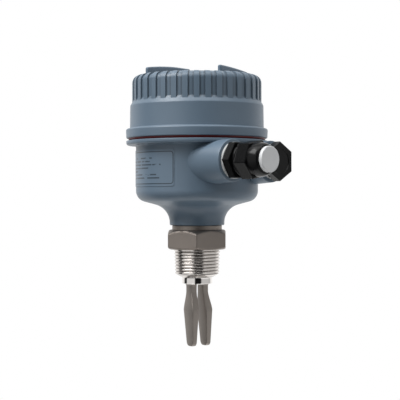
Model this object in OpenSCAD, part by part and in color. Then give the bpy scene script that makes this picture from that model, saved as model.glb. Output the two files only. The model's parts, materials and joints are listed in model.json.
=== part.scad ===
// Tuning fork level switch: a round moulded housing with a screw-on ribbed cover, two
// parallel cable entries, a hexagonal threaded process connection and a two-tined fork.
// Millimetres. Z runs up the axis and X along the cable entries. The origin is the centre
// of the hexagon's lower face, where the process thread begins.

/* [Process connection] */
// Major diameter of the process thread
thread_d = 33.25; // [31:0.05:35]
// Length of the process thread
thread_len = 18.5; // [15:0.5:26]
// Length of the chamfer that ends the thread
thread_end = 1.4; // [0.6:0.2:2]
// Width of the hexagon across its flats
hex_af = 41; // [38:1:46]
// Height of the hexagon
hex_h = 14; // [10:0.5:18]
// Height of the chamfer on the hexagon's upper corners
hex_top_chamfer = 3.1; // [1:0.1:4]
// Height of the chamfer on the hexagon's lower corners
hex_low_chamfer = 1.8; // [0.5:0.1:3]
// Direction of one corner of the hexagon
hex_turn = -45; // [-60:1:60]
// Diameter of the turned collar above the hexagon
collar_d = 35.7; // [32:0.1:38]
// Height of the turned collar above the hexagon
collar_h = 3.3; // [2:0.1:6]
// Diameter of the tube below the thread
tube_d = 21.3; // [20.5:0.1:24]
// Length of the tube below the thread
tube_len = 4.7; // [4:0.1:10]
// Diameter of the bore through the process connection
stem_bore_d = 16.6; // [16:0.1:17]
// Diameter of the spigot that holds the housing
spigot_d = 26; // [24:0.5:27]

/* [Fork] */
// Length of the tines below the tube
tine_len = 44.6; // [38:0.2:60]
// Direction in which the two tines stand apart
fork_turn = 77; // [0:1:180]
// Breadth of a tine at its root
tine_root_w = 7.1; // [5:0.1:8.5]
// Breadth of a tine where it is broadest
tine_wide_w = 12.4; // [9:0.1:13]
// Breadth of a tine at its tip
tine_tip_w = 7.8; // [6.5:0.1:9]
// Thickness of a tine at its root
tine_root_t = 4.3; // [3:0.1:4.6]
// Thickness of a tine where it is broadest
tine_wide_t = 4.5; // [3:0.1:5]
// Thickness of a tine at its tip
tine_tip_t = 2.6; // [2:0.1:4]
// Gap between the tines at their roots
gap_root = 5.2; // [4.4:0.1:7]
// Gap between the tines where they are broadest
gap_wide = 7.3; // [6:0.1:8]
// Gap between the tines at their tips
gap_tip = 8.6; // [7:0.1:10]
// Thickness of the diaphragm that carries the tines
diaphragm_t = 2; // [1.2:0.1:3]

/* [Housing] */
// Outer diameter of the round body
body_d = 87.6; // [84:0.2:96]
// Height of the body's straight wall, from the shoulder to the flange
body_h = 32.5; // [30:0.5:40]
// Wall thickness of the housing
wall = 4; // [3:0.1:5]
// Diameter of the neck that stands on the process connection
neck_d = 39.3; // [37:0.1:44]
// Height of the neck's straight part
neck_h = 1.7; // [1:0.1:4]
// Radius of the hollow between neck and shoulder
neck_fillet = 13.5; // [10:0.5:16]
// Upward slope of the shoulder, in degrees
shoulder_slope = 15; // [8:1:25]
// Radius of the round corner below the body
shoulder_r = 8; // [6:0.5:10]
// Width of the flange beyond the body
flange_out = 6.9; // [5:0.1:10]
// Thickness of the flange
flange_h = 3.7; // [2.5:0.1:6]
// Wall thickness of the threaded rim that the cover screws on
rim_wall = 3.7; // [2.5:0.1:5]
// Height of the threaded rim above the flange
rim_h = 13.8; // [10:0.2:18]

/* [Cover] */
// Gap between the two flanges, which the seal fills
seal_gap = 1.2; // [0.8:0.1:2]
// Width of the cover's flange beyond the housing's flange
cover_flange_out = 0.2; // [0:0.1:1]
// Height of the cover's flange
cover_flange_h = 6.9; // [5:0.1:10]
// Wall thickness of the smooth skirt above the flange
skirt_wall = 4; // [3:0.1:5]
// Height of the smooth skirt
skirt_h = 15.9; // [12:0.1:24]
// Width of the sloping ledge between the skirt and the ribs
ledge_in = 1.4; // [0.6:0.1:2]
// Depth of the grooves between the ribs
rib_depth = 1; // [0.4:0.1:1.6]
// Number of ribs
rib_count = 36; // [18:1:48]
// Direction of one rib
rib_turn = -45; // [-60:1:60]
// Height from the skirt to the top of the cover
crown_h = 22.2; // [16:0.2:34]
// Radius of the cover's upper shoulder
crown_r = 5.3; // [3.5:0.1:8]
// Thickness of the cover's top
crown_t = 3.5; // [2.5:0.1:5]
// Wall thickness of the cover behind its grooves
crown_wall = 3.9; // [2.5:0.1:5]

/* [Cover wings] */
// Distance of each wing from the axis
wing_offset = 18; // [12:0.5:24]
// Distance of a wing's inner end from the nearest point to the axis
wing_start = 2.1; // [0:0.1:6]
// Length of a wing
wing_len = 35; // [24:0.5:36]
// Height of a wing's inner end
wing_h = 7.7; // [4:0.1:12]
// Height of a wing's outer end
wing_low_h = 4.8; // [2:0.1:6]
// Thickness of a wing
wing_t = 3; // [2:0.1:5]
// Direction in which the wings run
wing_turn = 98.7; // [0:0.1:180]

/* [Rating label] */
// Height of the label
label_h = 25.6; // [15:0.2:28]
// Angle that the label covers on the wall
label_angle = 84; // [40:1:100]
// Direction of the label's middle
label_turn = -107.8; // [-160:0.1:-102]
// Thickness of the label
label_t = 0.3; // [0.1:0.05:0.6]

/* [Cable entries] */
// Distance between the two cable entries
entry_pitch = 38.8; // [34:0.2:44]
// Depth of the entries' axis below the top of the housing's flange
entry_drop = 16.1; // [15.5:0.1:20]
// Diameter of the bosses
boss_d = 29.2; // [28:0.2:32]
// Distance of the bosses' faces beyond the body
boss_out = 10.7; // [9:0.1:18]
// Thread diameter of the entries
entry_d = 20; // [18:0.5:21]
// Width across the flats of the gland, its nut and the blanking plug
gland_af = 24; // [23:0.5:28]
// Thickness of the sealing washers
washer_t = 2; // [1:0.1:2.5]
// Diameter of the gland's washer
washer_d = 25.4; // [24.5:0.1:28]
// Length of the gland body's hexagon
gland_hex_h = 6; // [4:0.2:9]
// Gap between the gland body's hexagon and its nut
gland_gap = 2.1; // [1:0.1:4]
// Length of the cap nut's hexagon
nut_hex_h = 14; // [11:0.2:18]
// Length of the cap nut's dome
dome_h = 6.6; // [5:0.2:9]
// Turn of the cap nut against the gland body
nut_turn = 40; // [30:1:90]
// Diameter of the sealing plug's head
plug_d = 17.5; // [15:0.1:18]
// Height of the sealing plug's head
plug_h = 2.4; // [2:0.1:5]
// Diameter of the largest cable that the gland takes
cable_d = 11.2; // [9:0.2:12]
// Height of the blanking plug's hexagonal head
blank_h = 6.2; // [4:0.1:10]

/* [Electronics] */
// Gap between the electronics insert and the housing's wall
insert_gap = 4.3; // [1:0.1:6]
// Height of the electronics insert
insert_h = 9; // [8:0.2:12]
// Number of terminals
terminal_count = 4; // [2:1:4]
// Distance between terminals
terminal_pitch = 11; // [9:0.5:12]
// Height of the terminal block
terminal_h = 12; // [10:0.5:16]
// Number of stacked piezo discs
piezo_count = 4; // [2:1:6]
// Thickness of a piezo disc
piezo_t = 2; // [1:0.1:2.5]

/* [Hidden] */

$fn = 96;

// Clearances
run_gap = 0.3;
seat_gap = 0.1;
close_gap = 0.05;
overlap = 0.5;
through = 1;

// Colours
housing_color = "#76869a";
steel_color = "#8b857e";
black_color = "#26282b";

// Levels along the axis
neck_z = hex_h + collar_h;
fillet_z = neck_z + neck_h;
thread_z = -thread_len - thread_end;
tube_z = thread_z - tube_len;
tine_tip_z = tube_z - tine_len;

// Outline of the housing: neck fillet, sloping shoulder, round corner, wall and flange
neck_r = neck_d / 2;
body_r = body_d / 2;
flange_r = body_r + flange_out;
cavity_r = body_r - wall;
rim_r = cavity_r + rim_wall;
fillet_x = neck_r + neck_fillet;
slope_start_r = fillet_x - neck_fillet * sin(shoulder_slope);
slope_start_z = fillet_z + neck_fillet * cos(shoulder_slope);
corner_x = body_r - shoulder_r;
corner_z = slope_start_z + shoulder_r * cos(shoulder_slope)
    + (corner_x + shoulder_r * sin(shoulder_slope) - slope_start_r) * tan(shoulder_slope);
flange_z = corner_z + body_h;
flange_top = flange_z + flange_h;
rim_top = flange_top + rim_h;
flange_fillet = 1.5;
seam_z = flange_z - flange_fillet;
rim_round = 1.2;
edge_chamfer = 0.5;

// Seat of the housing on the spigot
spigot_r = spigot_d / 2;
seat_t = 6.7;
ledge_z = neck_z + seat_t;
nut_pocket_r = spigot_r + 4.6;
cavity_arc_r = neck_fillet + wall;
pocket_angle = acos((nut_pocket_r - fillet_x) / cavity_arc_r);

// Levels of the cover
cover_z = flange_top + seal_gap;
skirt_z = cover_z + cover_flange_h;
ledge_low_z = skirt_z + skirt_h;
crown_z = ledge_low_z + crown_h;
cover_flange_r = flange_r + cover_flange_out;
cover_bore_r = rim_r + run_gap;
skirt_r = cover_bore_r + skirt_wall;
rib_r = skirt_r - ledge_in;
groove_r = rib_r - rib_depth;
skirt_draft = 0.25;
flange_draft = 0.25;
flange_land = 0.2;
flange_round = min(2.1, cover_flange_r - skirt_r - skirt_draft - flange_land);
ledge_slope = 61;
groove_low_z = ledge_low_z + (skirt_r - groove_r) * tan(ledge_slope);
rib_low_z = ledge_low_z + (skirt_r - rib_r) * tan(ledge_slope);
crown_x = rib_r - crown_r;
crown_corner_z = crown_z - crown_r;
groove_end_r = crown_x - 2;
cover_step_z = rim_top + 2;
cover_inner_r = groove_r - crown_wall;
cover_ceiling = crown_z - crown_t;
ceiling_round = 4;

// Seal in the cover's flange
seal_w = 3.2;
seal_h = 2.4;
seal_outer_r = cover_flange_r - 1.6;
seal_z = flange_top + seat_gap;

// Cable entries
entry_y = entry_pitch / 2;
entry_z = flange_top - entry_drop;
entry_r = entry_d / 2;
boss_r = boss_d / 2;
boss_reach = body_r + boss_out;
boss_root = cavity_r / 2;
shank_len = 14;
washer_x = boss_reach;
gland_x = washer_x + washer_t;
nut_x = gland_x + gland_hex_h + gland_gap;
dome_x = nut_x + nut_hex_h;
mouth_x = dome_x + dome_h;
hex_corner = 2 / sqrt(3);
gland_corner_r = gland_af / 2 * hex_corner;
gland_thread_r = gland_af / 2 - 2.1;
gland_bore_r = cable_d / 2 + 1.8;
mouth_r = cable_d / 2 + 0.7;
finger_count = 8;
finger_slot = 1.2;
finger_len = 6;
nut_collar_h = 1;
nut_collar_r = gland_af / 2 - 0.4;
mouth_len = 2;
hex_edge = 1;
gland_land_r = gland_corner_r - 1.2;
dome_tip_r = plug_d / 2 + 0.8;

// Electronics insert and what stands on it
insert_z = corner_z;
insert_top = insert_z + insert_h;
insert_r = cavity_r - insert_gap;
insert_wall = 2.5;
post_r = 4.2;
post_ring_r = insert_r - post_r - 0.8;
post_gap = 0.4;
post_angles = [60, 180, 300];
screw_r = 1.5;
screw_head_h = 2.2;
screw_head_r = 2.8;
screw_hole_r = screw_r + close_gap;
screw_grip = 3;
screw_slack = 0.2;
board_t = 1.6;
board_z = insert_top - insert_wall - 2;
terminal_depth = 18;
terminal_gap = 1.7;
terminal_x = -post_ring_r + screw_head_r + terminal_gap;
terminal_inset = 6;
terminal_shank = 3;
wire_hole_r = 2.1;
wire_hole_len = 5;
wire_hole_z = 3.6;
terminal_w = terminal_count * terminal_pitch + 4;
terminal_screw_r = 2.7;
well_depth = 6;
switch_x = 4;
switch_y = -12;
switch_size = [11, 14, 5];
channel_len = 8;
channel_w = 3;
channel_depth = 3;
slider_len = 3.4;
lamp_y = 12;
lamp_r = 1.5;
earth_inset = 11.5;
earth_x = insert_r - earth_inset;
earth_plate = [10, 8, 1];
earth_head_r = 3;

// Drive stack on the diaphragm
diaphragm_top = tube_z + diaphragm_t;
diaphragm_r = stem_bore_d / 2 + 1.1;
stud_r = 2.5;
ring_t = 2;
plate_t = 0.3;
stack_r = stem_bore_d / 2 - 1.8;
stack_hole_r = stud_r + 0.2;
stack_z = diaphragm_top + ring_t;
stack_step = piezo_t + plate_t;
stack_top = stack_z + piezo_count * stack_step - plate_t;
clamp_z = stack_top + ring_t;
clamp_h = 4;
spigot_top = neck_z + 17;
lead_r = 0.5;
lead_ring_r = stem_bore_d / 2 - 0.9;
lead_angles = [90, 210, 330];
header_h = 4;
header_z = spigot_top - header_h;
pin_r = 0.6;

// Points of an arc about a centre, from angle a0 to angle a1
function arc(cx, cy, r, a0, a1, n = 12) =
    [for (i = [0 : n]) let (a = a0 + (a1 - a0) * i / n) [cx + r * cos(a), cy + r * sin(a)]];

// Height of the shoulder's underside at radius r
function shoulder_z(r) = slope_start_z + (r - slope_start_r) * tan(shoulder_slope);

// Smooth step between 0 and 1
function ease(t) = t * t * (3 - 2 * t);

// Points that go smoothly from [x0, y0] to [x1, y1]
function eased(x0, y0, x1, y1, n = 8) =
    [for (i = [0 : n]) [x0 + (x1 - x0) * ease(i / n), y0 + (y1 - y0) * i / n]];

// Rectangle from [x0, y0] to [x1, y1] with round corners
function rounded(x0, y0, x1, y1, r) = concat(
    arc(x1 - r, y0 + r, r, -90, 0, 6),
    arc(x1 - r, y1 - r, r, 0, 90, 6),
    arc(x0 + r, y1 - r, r, 90, 180, 6),
    arc(x0 + r, y0 + r, r, 180, 270, 6)
);

// A solid turned about Z from a section of [radius, height] points
module turned(section) {
    rotate_extrude() polygon(section);
}

// A plain ring
module ring(z, h, r_out, r_in) {
    turned([[r_in, z], [r_out, z], [r_out, z + h], [r_in, z + h]]);
}

// Children built along Z are laid along X on one cable entry, at distance x from the axis
module on_entry(side, x = 0) {
    translate([x, side * entry_y, entry_z]) rotate([0, 90, 0]) children();
}

// Children repeated at the electronics insert's fixing points
module at_posts() {
    for (a = post_angles) rotate([0, 0, a]) translate([post_ring_r, 0, 0]) children();
}

// A hexagonal prism with a corner towards the angle turn
module hexagon(af, h, turn = 0) {
    rotate([0, 0, turn]) cylinder(d = af * hex_corner, h = h, $fn = 6);
}

// A hexagonal prism whose lower and upper corners are turned off down to a round land
module turned_hexagon(af, h, turn, land_r, low_chamfer, top_chamfer) {
    corner_r = af / 2 * hex_corner;
    envelope_r = corner_r + through;
    stretch = (envelope_r - land_r) / (corner_r - land_r);
    intersection() {
        hexagon(af, h, turn);
        turned([
            [0, 0], [land_r, 0], [envelope_r, low_chamfer * stretch],
            [envelope_r, h - top_chamfer * stretch], [land_r, h], [0, h]
        ]);
    }
}

// A slotted screw whose head stands on z = 0, with its shank below
module slotted_screw(head_r, head_h, shank_r, shank_len) {
    difference() {
        union() {
            cylinder(r = head_r, h = head_h);
            translate([0, 0, -shank_len]) cylinder(r = shank_r, h = shank_len + overlap);
        }
        translate([-head_r - through, -0.4, head_h / 2]) cube([2 * head_r + 2 * through, 0.8, head_h]);
    }
}

// Outer line of the housing's base: neck, hollow, sloping shoulder and round corner
base_outer = concat(
    [[neck_r - edge_chamfer, neck_z], [neck_r, neck_z + edge_chamfer]],
    arc(fillet_x, fillet_z, neck_fillet, 180, 90 + shoulder_slope),
    arc(corner_x, corner_z, shoulder_r, -90 + shoulder_slope, 0)
);

// Inner line of the base, from the cavity's wall down to the seat on the spigot
base_inner = concat(
    arc(corner_x, corner_z, shoulder_r - wall, 0, -90 + shoulder_slope),
    arc(fillet_x, fillet_z, cavity_arc_r, 90 + shoulder_slope, pocket_angle),
    [[nut_pocket_r, ledge_z], [spigot_r + close_gap, ledge_z], [spigot_r + close_gap, neck_z]]
);

// Outer line of the rim: fillet, round flange and threaded rim
rim_outer = concat(
    arc(body_r + flange_fillet, seam_z, flange_fillet, 180, 90, 6),
    arc(flange_r - rim_round, flange_z + rim_round, rim_round, -90, 0, 6),
    arc(flange_r - rim_round, flange_top - rim_round, rim_round, 0, 90, 6),
    [[rim_r, flange_top], [rim_r, rim_top - edge_chamfer], [rim_r - edge_chamfer, rim_top]]
);

module housing_base() {
    post_z = shoulder_z(post_ring_r) + wall * 0.6;
    color(housing_color) {
        turned(concat(base_outer, base_inner));
        at_posts() difference() {
            translate([0, 0, post_z]) cylinder(r = post_r, h = insert_z - post_z);
            translate([0, 0, post_z + through]) cylinder(r = screw_hole_r, h = insert_z - post_z);
        }
    }
}

// Bores of the two cable entries
module entry_bores() {
    for (side = [-1, 1]) on_entry(side) cylinder(r = entry_r + close_gap, h = boss_reach + through);
}

module housing_wall() {
    color(housing_color) difference() {
        ring(corner_z, seam_z - corner_z, body_r, cavity_r);
        entry_bores();
    }
}

module housing_rim() {
    color(housing_color) turned(concat([[cavity_r, seam_z]], rim_outer, [[cavity_r, rim_top]]));
}

module entry_bosses() {
    color(housing_color) difference() {
        for (side = [-1, 1]) on_entry(side, boss_root)
            cylinder(r = boss_r, h = boss_reach - boss_root);
        turned(concat([[0, corner_z - boss_r], [body_r, corner_z - boss_r]], rim_outer, [[0, rim_top]]));
        entry_bores();
    }
}

// The cover's outline up to the bottom of its grooves
cover_outline = concat(
    [[0, cover_z], [cover_flange_r - flange_draft - edge_chamfer, cover_z]],
    [[cover_flange_r - flange_draft, cover_z + edge_chamfer]],
    arc(cover_flange_r - flange_round, skirt_z - flange_round, flange_round, 0, 90, 6),
    [[skirt_r + skirt_draft, skirt_z], [skirt_r, ledge_low_z], [groove_r, groove_low_z]],
    arc(crown_x, crown_corner_z, crown_r - rib_depth, 0, 60),
    [[groove_end_r, crown_z], [0, crown_z]]
);

// Section of one rib, which reaches into the wall behind it and ends just under the top
rib_sink = 0.05;
rib_root = 1.5;
rib_outline = concat(
    [[groove_r - rib_root, rib_low_z - rib_root], [rib_r, rib_low_z - rib_root]],
    arc(crown_x, crown_corner_z - rib_sink, crown_r, 0, 90),
    [[groove_end_r - rib_root, crown_z - rib_sink], [groove_end_r - rib_root, crown_z - rib_root]],
    [[crown_x, crown_corner_z], [groove_r - rib_root, crown_corner_z]]
);

// The cover's hollow: threaded bore, step and ceiling
cover_hollow = concat(
    [[0, cover_z - through], [cover_bore_r, cover_z - through], [cover_bore_r, cover_step_z]],
    [[cover_inner_r, cover_step_z]],
    arc(cover_inner_r - ceiling_round, cover_ceiling - ceiling_round, ceiling_round, 0, 90, 8),
    [[0, cover_ceiling]]
);

// Side view of one wing: a high round inner end and a gently arched top that falls outwards
wing_root = 1.5;
wing_round = 1.4;
wing_arch = 0.5;
wing_outline = concat(
    [[0, -wing_root], [wing_len, -wing_root]],
    arc(wing_len - wing_round, wing_low_h - wing_round, wing_round, 0, 75, 6),
    [[wing_len / 2, (wing_h + wing_low_h) / 2 + wing_arch]],
    arc(wing_round, wing_h - wing_round, wing_round, 85, 180, 6)
);

module wing() {
    rotate([0, 0, wing_turn]) translate([wing_start, -wing_offset + wing_t / 2, crown_z])
        rotate([90, 0, 0]) linear_extrude(height = wing_t) polygon(wing_outline);
}

module cover() {
    rib_angle = 180 / rib_count;
    color(housing_color) difference() {
        union() {
            turned(cover_outline);
            for (i = [0 : rib_count - 1])
                rotate([0, 0, rib_turn + (2 * i - 0.5) * rib_angle])
                    rotate_extrude(angle = rib_angle) polygon(rib_outline);
            for (half = [0, 180]) rotate([0, 0, half]) wing();
        }
        turned(cover_hollow);
        ring(cover_z - through, seal_h - seal_gap + seat_gap + run_gap + through,
            seal_outer_r + run_gap, seal_outer_r - seal_w - run_gap);
    }
}

module cover_seal() {
    color("#8e2a2a") ring(seal_z, seal_h, seal_outer_r, seal_outer_r - seal_w);
}

module rating_label() {
    label_z = (corner_z + flange_z) / 2 - label_h / 2 - 0.5;
    half_width = (body_r + label_t) * sin(label_angle / 2);
    color("#8291a2") rotate([0, 0, label_turn]) intersection() {
        ring(label_z, label_h, body_r + close_gap + label_t, body_r + close_gap);
        rotate([90, 0, 90]) linear_extrude(height = body_d)
            polygon(rounded(-half_width, label_z, half_width, label_z + label_h, 2));
    }
}

module gland_body() {
    tube_end = dome_x + 0.5;
    color(black_color) on_entry(-1) difference() {
        union() {
            translate([0, 0, boss_reach - shank_len])
                cylinder(r = entry_r, h = shank_len + washer_t + overlap);
            translate([0, 0, gland_x])
                turned_hexagon(gland_af, gland_hex_h, 30, gland_land_r, hex_edge, hex_edge);
            translate([0, 0, gland_x]) cylinder(r = gland_thread_r, h = tube_end - finger_len - gland_x);
            translate([0, 0, gland_x]) cylinder(r = gland_bore_r + 1.4, h = tube_end - gland_x);
        }
        translate([0, 0, boss_reach - shank_len - through])
            cylinder(r = gland_bore_r, h = tube_end - boss_reach + shank_len + 2 * through);
        for (i = [0 : finger_count - 1]) rotate([0, 0, i * 360 / finger_count])
            translate([gland_bore_r - through, -finger_slot / 2, tube_end - finger_len])
                cube([3 * through, finger_slot, finger_len + through]);
    }
}

module gland_washer() {
    color("#d6d8d8") on_entry(-1) ring(washer_x, washer_t, washer_d / 2, entry_r + close_gap);
}

module gland_seal() {
    color("#3a3c3e") on_entry(-1)
        ring(nut_x - 2, dome_x - nut_x, gland_bore_r - run_gap, cable_d / 2);
}

// Envelope of the cap nut: a round collar, the hexagon's corners and the dome
nut_h = nut_hex_h + dome_h;
nut_envelope_r = gland_corner_r + 0.4;
nut_outline = concat(
    [[0, 0], [nut_collar_r, 0], [nut_collar_r, nut_collar_h]],
    [[nut_envelope_r, nut_collar_h + hex_edge], [nut_envelope_r, nut_hex_h - 1]],
    [for (a = [9 : 9 : 90]) [
        dome_tip_r + (nut_envelope_r - dome_tip_r) * cos(a),
        nut_h - (dome_h + 1) * (1 - sin(a))
    ]],
    [[0, nut_h]]
);

// Hollow of the cap nut: threaded bore, cone and mouth
nut_hollow = [
    [0, -through], [gland_thread_r + run_gap, -through], [gland_thread_r + run_gap, nut_hex_h + 1],
    [mouth_r, nut_h - mouth_len], [mouth_r, nut_h + through], [0, nut_h + through]
];

module gland_nut() {
    color(black_color) on_entry(-1, nut_x) difference() {
        intersection() {
            hexagon(gland_af, nut_h, nut_turn);
            turned(nut_outline);
        }
        turned(nut_hollow);
    }
}

module gland_plug() {
    stem_r = cable_d / 2 - run_gap;
    color("#cfd1d2") on_entry(-1) turned(concat(
        [[0, nut_x], [stem_r, nut_x], [stem_r, mouth_x + seat_gap], [plug_d / 2, mouth_x + seat_gap]],
        arc(plug_d / 2 - edge_chamfer, mouth_x + plug_h - edge_chamfer, edge_chamfer, 0, 90, 4),
        [[0, mouth_x + plug_h]]
    ));
}

module blanking_plug() {
    head_x = washer_x + washer_t;
    shank_r = entry_r - run_gap + close_gap;
    face_recess = 0.6;
    color(black_color) on_entry(1) difference() {
        union() {
            translate([0, 0, boss_reach - shank_len])
                cylinder(r = shank_r, h = shank_len + washer_t + overlap);
            translate([0, 0, head_x])
                turned_hexagon(gland_af, blank_h, 0, gland_land_r, hex_edge, hex_edge);
        }
        translate([0, 0, head_x + blank_h - face_recess]) cylinder(r = gland_af / 2 - 4, h = through);
        translate([0, 0, boss_reach - shank_len - through]) cylinder(r = shank_r - 2.5, h = shank_len);
    }
}

module blanking_washer() {
    color("#d6d8d8") on_entry(1)
        ring(washer_x + seat_gap, washer_t - 2 * seat_gap, gland_af / 2 + 0.6, entry_r + close_gap);
}

// Turned section of the process connection, without its hexagon and bore
connection_outline = [
    [0, tube_z], [tube_d / 2, tube_z], [tube_d / 2, thread_z],
    [thread_d / 2 - 1.6, thread_z], [thread_d / 2, -thread_len], [thread_d / 2, 0],
    [collar_d / 2, 0], [collar_d / 2, neck_z], [spigot_r, neck_z],
    [spigot_r, spigot_top - edge_chamfer], [spigot_r - edge_chamfer, spigot_top], [0, spigot_top]
];

o_ring_r = 1;
o_ring_z = neck_z + 3;

module process_connection() {
    color(steel_color) difference() {
        union() {
            turned(connection_outline);
            turned_hexagon(hex_af, hex_h, hex_turn, hex_af / 2 - 1, hex_low_chamfer, hex_top_chamfer);
        }
        translate([0, 0, tube_z - through])
            cylinder(d = stem_bore_d, h = spigot_top - tube_z + 2 * through);
        translate([0, 0, tube_z - through])
            cylinder(r = diaphragm_r + close_gap, h = diaphragm_t + through);
        ring(o_ring_z - o_ring_r - 0.2, 2 * o_ring_r + 0.4, spigot_r + through, spigot_r - 1.8 * o_ring_r);
    }
}

// Levels of the tines
root_end_z = tube_z - 6;
wide_z = tube_z - 18.6;
tip_round = 3;

// Breadth of a tine, seen square on
half_breadth = concat(
    [[tine_root_w / 2, tube_z + overlap]],
    eased(tine_root_w / 2, root_end_z, tine_wide_w / 2, wide_z),
    arc(tine_tip_w / 2 - tip_round, tine_tip_z + tip_round, tip_round, 0, -90, 8)
);
breadth_outline = concat(
    half_breadth,
    [for (i = [len(half_breadth) - 1 : -1 : 0]) [-half_breadth[i][0], half_breadth[i][1]]]
);

// Thickness of a tine and its place beside the axis, seen on edge
thickness_outline = concat(
    [[gap_root / 2, tube_z + overlap], [gap_root / 2 + tine_root_t, tube_z + overlap]],
    eased(gap_root / 2 + tine_root_t, root_end_z, gap_wide / 2 + tine_wide_t, wide_z),
    [[gap_tip / 2 + tine_tip_t, tine_tip_z], [gap_tip / 2, tine_tip_z]],
    eased(gap_wide / 2, wide_z, gap_root / 2, root_end_z)
);

module tine() {
    intersection() {
        rotate([90, 0, 0])
            linear_extrude(height = 2 * tine_wide_w, center = true) polygon(thickness_outline);
        rotate([90, 0, 90]) linear_extrude(height = tube_d) polygon(breadth_outline);
    }
}

module fork() {
    color(steel_color) rotate([0, 0, fork_turn]) {
        translate([0, 0, tube_z]) cylinder(r = diaphragm_r, h = diaphragm_t);
        for (half = [0, 180]) rotate([0, 0, half]) tine();
    }
}

module neck_seal() {
    color("#1c1d1e") rotate_extrude()
        translate([spigot_r - 0.8 * o_ring_r, o_ring_z]) circle(r = 0.78 * o_ring_r, $fn = 24);
}

module retaining_nut() {
    ring_nut_h = 6;
    ring_nut_r = nut_pocket_r - 0.6;
    slot_w = 4;
    slot_h = 3;
    color("#a9a7a2") difference() {
        ring(ledge_z, ring_nut_h, ring_nut_r, spigot_r + close_gap);
        for (a = [0 : 90 : 270]) rotate([0, 0, a])
            translate([ring_nut_r - 1.6, -slot_w / 2, ledge_z + ring_nut_h - slot_h])
                cube([2 * through, slot_w, slot_h + through]);
    }
}

module tension_stud() {
    color("#b0aeaa") translate([0, 0, diaphragm_top])
        cylinder(r = stud_r, h = clamp_z + clamp_h + 1 - diaphragm_top);
}

module clamp_nut() {
    clamp_af = 9;
    color("#b0aeaa") translate([0, 0, clamp_z]) difference() {
        hexagon(clamp_af, clamp_h);
        translate([0, 0, -through]) cylinder(r = stud_r + close_gap, h = clamp_h + 2 * through);
    }
}

module piezo_discs() {
    color("#c9c3b4") for (i = [0 : piezo_count - 1])
        ring(stack_z + i * stack_step, piezo_t, stack_r, stack_hole_r);
}

module electrode_plates() {
    color("#c79a55") for (i = [0 : piezo_count - 2]) {
        plate_z = stack_z + piezo_t + i * stack_step;
        ring(plate_z, plate_t, stack_r, stack_hole_r);
    }
}

module insulator_rings() {
    color("#e6e2d8") for (z = [diaphragm_top, stack_top]) ring(z, ring_t, stack_r, stack_hole_r);
}

module sensor_leads() {
    color("#b3452f") for (a = lead_angles) rotate([0, 0, a]) translate([lead_ring_r, 0, stack_z])
        cylinder(r = lead_r, h = header_z - stack_z, $fn = 24);
}

module sensor_header() {
    flange_t = 2;
    header_rim = 1.5;
    pin_pitch = 4;
    color("#2d3a33") {
        translate([0, 0, header_z]) cylinder(d = stem_bore_d - 2 * close_gap, h = header_h + overlap);
        translate([0, 0, spigot_top]) cylinder(d = stem_bore_d + 2 * header_rim, h = flange_t);
        for (i = [-1 : 1]) translate([i * pin_pitch, 0, spigot_top])
            cylinder(r = pin_r, h = board_z - spigot_top);
    }
}

module electronics_insert() {
    ceiling_z = insert_top - insert_wall;
    color("#3d4a55") difference() {
        union() {
            difference() {
                translate([0, 0, insert_z]) cylinder(r = insert_r, h = insert_h);
                translate([0, 0, insert_z - through])
                    cylinder(r = insert_r - insert_wall, h = board_z + board_t - insert_z + through);
                translate([0, 0, insert_z - through])
                    cylinder(r = insert_r - 2 * insert_wall, h = ceiling_z - insert_z + through);
            }
            at_posts() translate([0, 0, insert_z]) cylinder(r = post_r, h = insert_h - overlap);
        }
        at_posts() translate([0, 0, insert_z - through])
            cylinder(r = screw_r + screw_slack, h = insert_h + 2 * through);
    }
}

module circuit_board() {
    color("#2f6b45") difference() {
        translate([0, 0, board_z]) cylinder(r = insert_r - insert_wall - seat_gap, h = board_t);
        at_posts() translate([0, 0, board_z - through])
            cylinder(r = post_r + post_gap, h = board_t + 2 * through);
    }
}

// Place of one terminal across the block
function terminal_y(i) = (i - (terminal_count - 1) / 2) * terminal_pitch;

// Children repeated at each terminal, with the origin on the block's top
module at_terminals() {
    for (i = [0 : terminal_count - 1])
        translate([terminal_x + terminal_inset, terminal_y(i), insert_top + terminal_h]) children();
}

module terminal_block() {
    color("#dcdcd6") difference() {
        translate([terminal_x, -terminal_w / 2, insert_top]) cube([terminal_depth, terminal_w, terminal_h]);
        at_terminals() {
            translate([0, 0, -well_depth]) cylinder(r = terminal_screw_r + 0.3, h = well_depth + through);
            translate([0, 0, -terminal_h + 1.5]) cylinder(r = screw_r + close_gap, h = terminal_h);
            translate([terminal_depth - terminal_inset - wire_hole_len, 0, -terminal_h + wire_hole_z])
                rotate([0, 90, 0]) cylinder(r = wire_hole_r, h = wire_hole_len + through);
        }
    }
}

module terminal_screws() {
    color("#b9b7b2") at_terminals() translate([0, 0, -well_depth])
        slotted_screw(terminal_screw_r, screw_head_h, screw_r, terminal_shank);
}

// Place of one slide switch in the switch block
function channel_x(i) = switch_x + (i - 0.5) * 5;
channel_y = switch_y - channel_len / 2;
channel_z = insert_top + switch_size[2] - channel_depth;

module switch_block() {
    color("#23262a") difference() {
        translate([switch_x - switch_size[0] / 2, switch_y - switch_size[1] / 2, insert_top])
            cube(switch_size);
        for (i = [0, 1]) translate([channel_x(i) - channel_w / 2, channel_y, channel_z])
            cube([channel_w, channel_len, channel_depth + through]);
    }
}

// A slider that rests at the near end of its channel and stands proud of it
module slider(i) {
    slider_x = channel_x(i) - channel_w / 2 + run_gap;
    color("#e8e8e4") translate([slider_x, channel_y + run_gap, channel_z + seat_gap])
        cube([channel_w - 2 * run_gap, slider_len, channel_depth + 0.9]);
}

module delay_slider() {
    slider(0);
}

module density_slider() {
    slider(1);
}

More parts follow.
